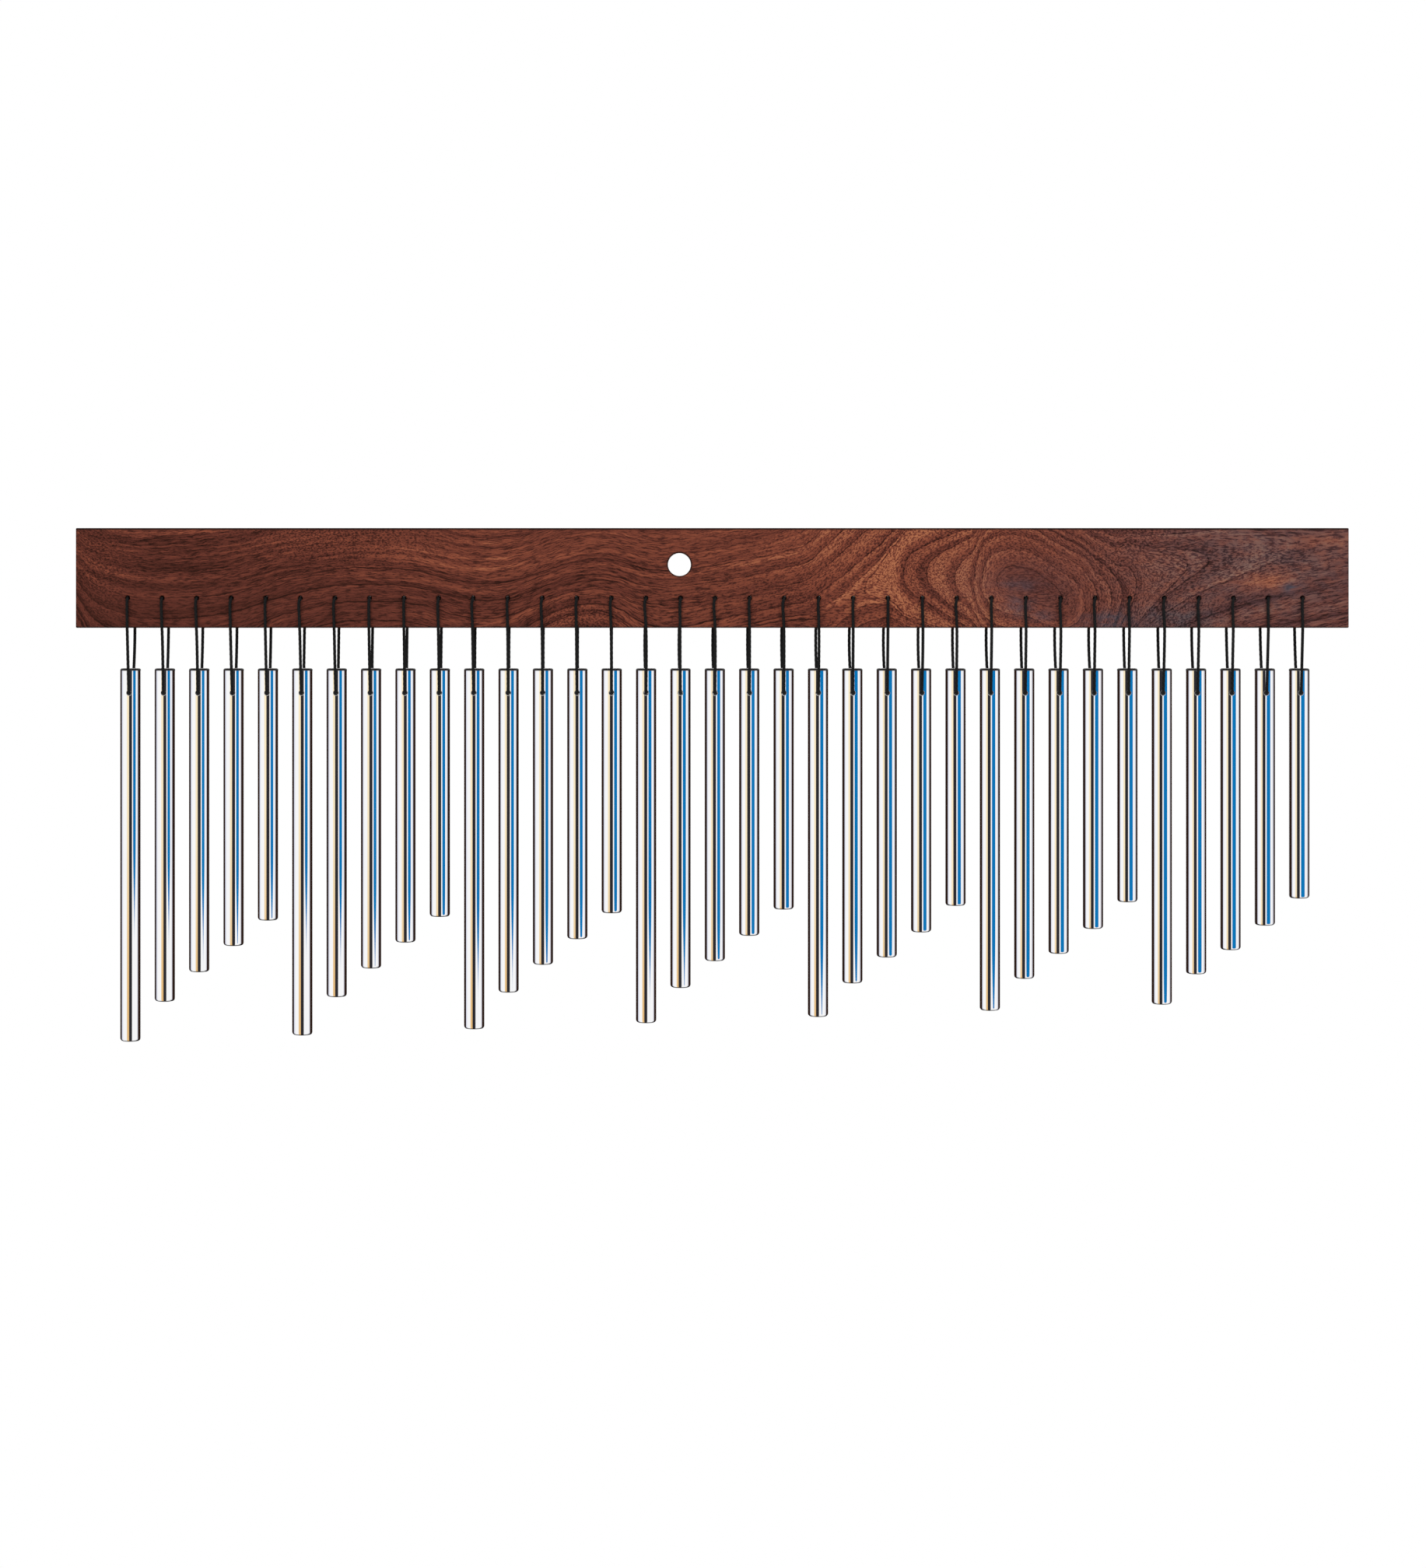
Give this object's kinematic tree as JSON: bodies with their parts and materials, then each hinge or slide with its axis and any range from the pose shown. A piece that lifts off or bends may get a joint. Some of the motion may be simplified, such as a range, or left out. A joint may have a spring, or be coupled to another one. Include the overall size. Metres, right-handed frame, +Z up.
{
  "type": "bar chime",
  "caption": "Bar chime: polished metal bars of falling lengths hang on cord from a flat wooden mantle with a stand hole, and swing along the row to ring against each other.",
  "frame": {"origin": "middle of the stand hole, halfway through the mantle", "axes": "+X to the right along the row, the front towards -Y, +Z up"},
  "size_m": [0.6096, 0.0236, 0.2468],
  "materials": {
    "walnut": "satin oiled",
    "polished_metal": "mirror polished",
    "black_cord": "braided"
  },
  "bodies": {
    "mantle": {"mantle": "walnut", "cord_1": "black_cord", "cord_2": "black_cord", "cord_3": "black_cord", "cord_4": "black_cord", "cord_5": "black_cord", "cord_6": "black_cord", "cord_7": "black_cord"},
    "bar_01": {"bar_01": "polished_metal"},
    "bar_02": {"bar_02": "polished_metal"},
    "bar_03": {"bar_03": "polished_metal"},
    "bar_04": {"bar_04": "polished_metal"},
    "bar_05": {"bar_05": "polished_metal"},
    "bar_06": {"bar_06": "polished_metal"},
    "bar_07": {"bar_07": "polished_metal"},
    "bar_08": {"bar_08": "polished_metal"},
    "bar_09": {"bar_09": "polished_metal"},
    "bar_10": {"bar_10": "polished_metal"},
    "bar_11": {"bar_11": "polished_metal"},
    "bar_12": {"bar_12": "polished_metal"},
    "bar_13": {"bar_13": "polished_metal"},
    "bar_14": {"bar_14": "polished_metal"},
    "bar_15": {"bar_15": "polished_metal"},
    "bar_16": {"bar_16": "polished_metal"},
    "bar_17": {"bar_17": "polished_metal"},
    "bar_18": {"bar_18": "polished_metal"},
    "bar_19": {"bar_19": "polished_metal"},
    "bar_20": {"bar_20": "polished_metal"},
    "bar_21": {"bar_21": "polished_metal"},
    "bar_22": {"bar_22": "polished_metal"},
    "bar_23": {"bar_23": "polished_metal"},
    "bar_24": {"bar_24": "polished_metal"},
    "bar_25": {"bar_25": "polished_metal"},
    "bar_26": {"bar_26": "polished_metal"},
    "bar_27": {"bar_27": "polished_metal"},
    "bar_28": {"bar_28": "polished_metal"},
    "bar_29": {"bar_29": "polished_metal"},
    "bar_30": {"bar_30": "polished_metal"},
    "bar_31": {"bar_31": "polished_metal"},
    "bar_32": {"bar_32": "polished_metal"},
    "bar_33": {"bar_33": "polished_metal"},
    "bar_34": {"bar_34": "polished_metal"},
    "bar_35": {"bar_35": "polished_metal"}
  },
  "joints": [
    {"name": "swing_01", "type": "hinge", "parent": "mantle", "child": "bar_01", "pos_m": [-0.2643, 0, -0.0617], "axis": [0, 1, 0], "range_deg": [-2.46, 35]},
    {"name": "swing_02", "type": "hinge", "parent": "mantle", "child": "bar_02", "pos_m": [-0.24775, 0, -0.0617], "axis": [0, 1, 0], "range_deg": [-2.46, 2.46]},
    {"name": "swing_03", "type": "hinge", "parent": "mantle", "child": "bar_03", "pos_m": [-0.2312, 0, -0.0617], "axis": [0, 1, 0], "range_deg": [-2.72, 2.72]},
    {"name": "swing_04", "type": "hinge", "parent": "mantle", "child": "bar_04", "pos_m": [-0.21465, 0, -0.0617], "axis": [0, 1, 0], "range_deg": [-3.01, 3.01]},
    {"name": "swing_05", "type": "hinge", "parent": "mantle", "child": "bar_05", "pos_m": [-0.1981, 0, -0.0617], "axis": [0, 1, 0], "range_deg": [-3.34, 3.34]},
    {"name": "swing_06", "type": "hinge", "parent": "mantle", "child": "bar_06", "pos_m": [-0.18155, 0, -0.0617], "axis": [0, 1, 0], "range_deg": [-2.5, 2.5]},
    {"name": "swing_07", "type": "hinge", "parent": "mantle", "child": "bar_07", "pos_m": [-0.165, 0, -0.0617], "axis": [0, 1, 0], "range_deg": [-2.5, 2.5]},
    {"name": "swing_08", "type": "hinge", "parent": "mantle", "child": "bar_08", "pos_m": [-0.14845, 0, -0.0617], "axis": [0, 1, 0], "range_deg": [-2.76, 2.76]},
    {"name": "swing_09", "type": "hinge", "parent": "mantle", "child": "bar_09", "pos_m": [-0.1319, 0, -0.0617], "axis": [0, 1, 0], "range_deg": [-3.05, 3.05]},
    {"name": "swing_10", "type": "hinge", "parent": "mantle", "child": "bar_10", "pos_m": [-0.11535, 0, -0.0617], "axis": [0, 1, 0], "range_deg": [-3.39, 3.39]},
    {"name": "swing_11", "type": "hinge", "parent": "mantle", "child": "bar_11", "pos_m": [-0.0988, 0, -0.0617], "axis": [0, 1, 0], "range_deg": [-2.54, 2.54]},
    {"name": "swing_12", "type": "hinge", "parent": "mantle", "child": "bar_12", "pos_m": [-0.08225, 0, -0.0617], "axis": [0, 1, 0], "range_deg": [-2.54, 2.54]},
    {"name": "swing_13", "type": "hinge", "parent": "mantle", "child": "bar_13", "pos_m": [-0.0657, 0, -0.0617], "axis": [0, 1, 0], "range_deg": [-2.8, 2.8]},
    {"name": "swing_14", "type": "hinge", "parent": "mantle", "child": "bar_14", "pos_m": [-0.04915, 0, -0.0617], "axis": [0, 1, 0], "range_deg": [-3.09, 3.09]},
    {"name": "swing_15", "type": "hinge", "parent": "mantle", "child": "bar_15", "pos_m": [-0.0326, 0, -0.0617], "axis": [0, 1, 0], "range_deg": [-3.45, 3.45]},
    {"name": "swing_16", "type": "hinge", "parent": "mantle", "child": "bar_16", "pos_m": [-0.01605, 0, -0.0617], "axis": [0, 1, 0], "range_deg": [-2.58, 2.58]},
    {"name": "swing_17", "type": "hinge", "parent": "mantle", "child": "bar_17", "pos_m": [0.0005, 0, -0.0617], "axis": [0, 1, 0], "range_deg": [-2.58, 2.58]},
    {"name": "swing_18", "type": "hinge", "parent": "mantle", "child": "bar_18", "pos_m": [0.01705, 0, -0.0617], "axis": [0, 1, 0], "range_deg": [-2.84, 2.84]},
    {"name": "swing_19", "type": "hinge", "parent": "mantle", "child": "bar_19", "pos_m": [0.0336, 0, -0.0617], "axis": [0, 1, 0], "range_deg": [-3.13, 3.13]},
    {"name": "swing_20", "type": "hinge", "parent": "mantle", "child": "bar_20", "pos_m": [0.05015, 0, -0.0617], "axis": [0, 1, 0], "range_deg": [-3.51, 3.51]},
    {"name": "swing_21", "type": "hinge", "parent": "mantle", "child": "bar_21", "pos_m": [0.0667, 0, -0.0617], "axis": [0, 1, 0], "range_deg": [-2.62, 2.62]},
    {"name": "swing_22", "type": "hinge", "parent": "mantle", "child": "bar_22", "pos_m": [0.08325, 0, -0.0617], "axis": [0, 1, 0], "range_deg": [-2.62, 2.62]},
    {"name": "swing_23", "type": "hinge", "parent": "mantle", "child": "bar_23", "pos_m": [0.0998, 0, -0.0617], "axis": [0, 1, 0], "range_deg": [-2.87, 2.87]},
    {"name": "swing_24", "type": "hinge", "parent": "mantle", "child": "bar_24", "pos_m": [0.11635, 0, -0.0617], "axis": [0, 1, 0], "range_deg": [-3.18, 3.18]},
    {"name": "swing_25", "type": "hinge", "parent": "mantle", "child": "bar_25", "pos_m": [0.1329, 0, -0.0617], "axis": [0, 1, 0], "range_deg": [-3.57, 3.57]},
    {"name": "swing_26", "type": "hinge", "parent": "mantle", "child": "bar_26", "pos_m": [0.14945, 0, -0.0617], "axis": [0, 1, 0], "range_deg": [-2.66, 2.66]},
    {"name": "swing_27", "type": "hinge", "parent": "mantle", "child": "bar_27", "pos_m": [0.166, 0, -0.0617], "axis": [0, 1, 0], "range_deg": [-2.66, 2.66]},
    {"name": "swing_28", "type": "hinge", "parent": "mantle", "child": "bar_28", "pos_m": [0.18255, 0, -0.0617], "axis": [0, 1, 0], "range_deg": [-2.92, 2.92]},
    {"name": "swing_29", "type": "hinge", "parent": "mantle", "child": "bar_29", "pos_m": [0.1991, 0, -0.0617], "axis": [0, 1, 0], "range_deg": [-3.22, 3.22]},
    {"name": "swing_30", "type": "hinge", "parent": "mantle", "child": "bar_30", "pos_m": [0.21565, 0, -0.0617], "axis": [0, 1, 0], "range_deg": [-3.63, 3.63]},
    {"name": "swing_31", "type": "hinge", "parent": "mantle", "child": "bar_31", "pos_m": [0.2322, 0, -0.0617], "axis": [0, 1, 0], "range_deg": [-2.7, 2.7]},
    {"name": "swing_32", "type": "hinge", "parent": "mantle", "child": "bar_32", "pos_m": [0.24875, 0, -0.0617], "axis": [0, 1, 0], "range_deg": [-2.7, 2.7]},
    {"name": "swing_33", "type": "hinge", "parent": "mantle", "child": "bar_33", "pos_m": [0.2653, 0, -0.0617], "axis": [0, 1, 0], "range_deg": [-2.96, 2.96]},
    {"name": "swing_34", "type": "hinge", "parent": "mantle", "child": "bar_34", "pos_m": [0.28185, 0, -0.0617], "axis": [0, 1, 0], "range_deg": [-3.27, 3.27]},
    {"name": "swing_35", "type": "hinge", "parent": "mantle", "child": "bar_35", "pos_m": [0.2984, 0, -0.0617], "axis": [0, 1, 0], "range_deg": [-35, 3.7]}
  ]
}
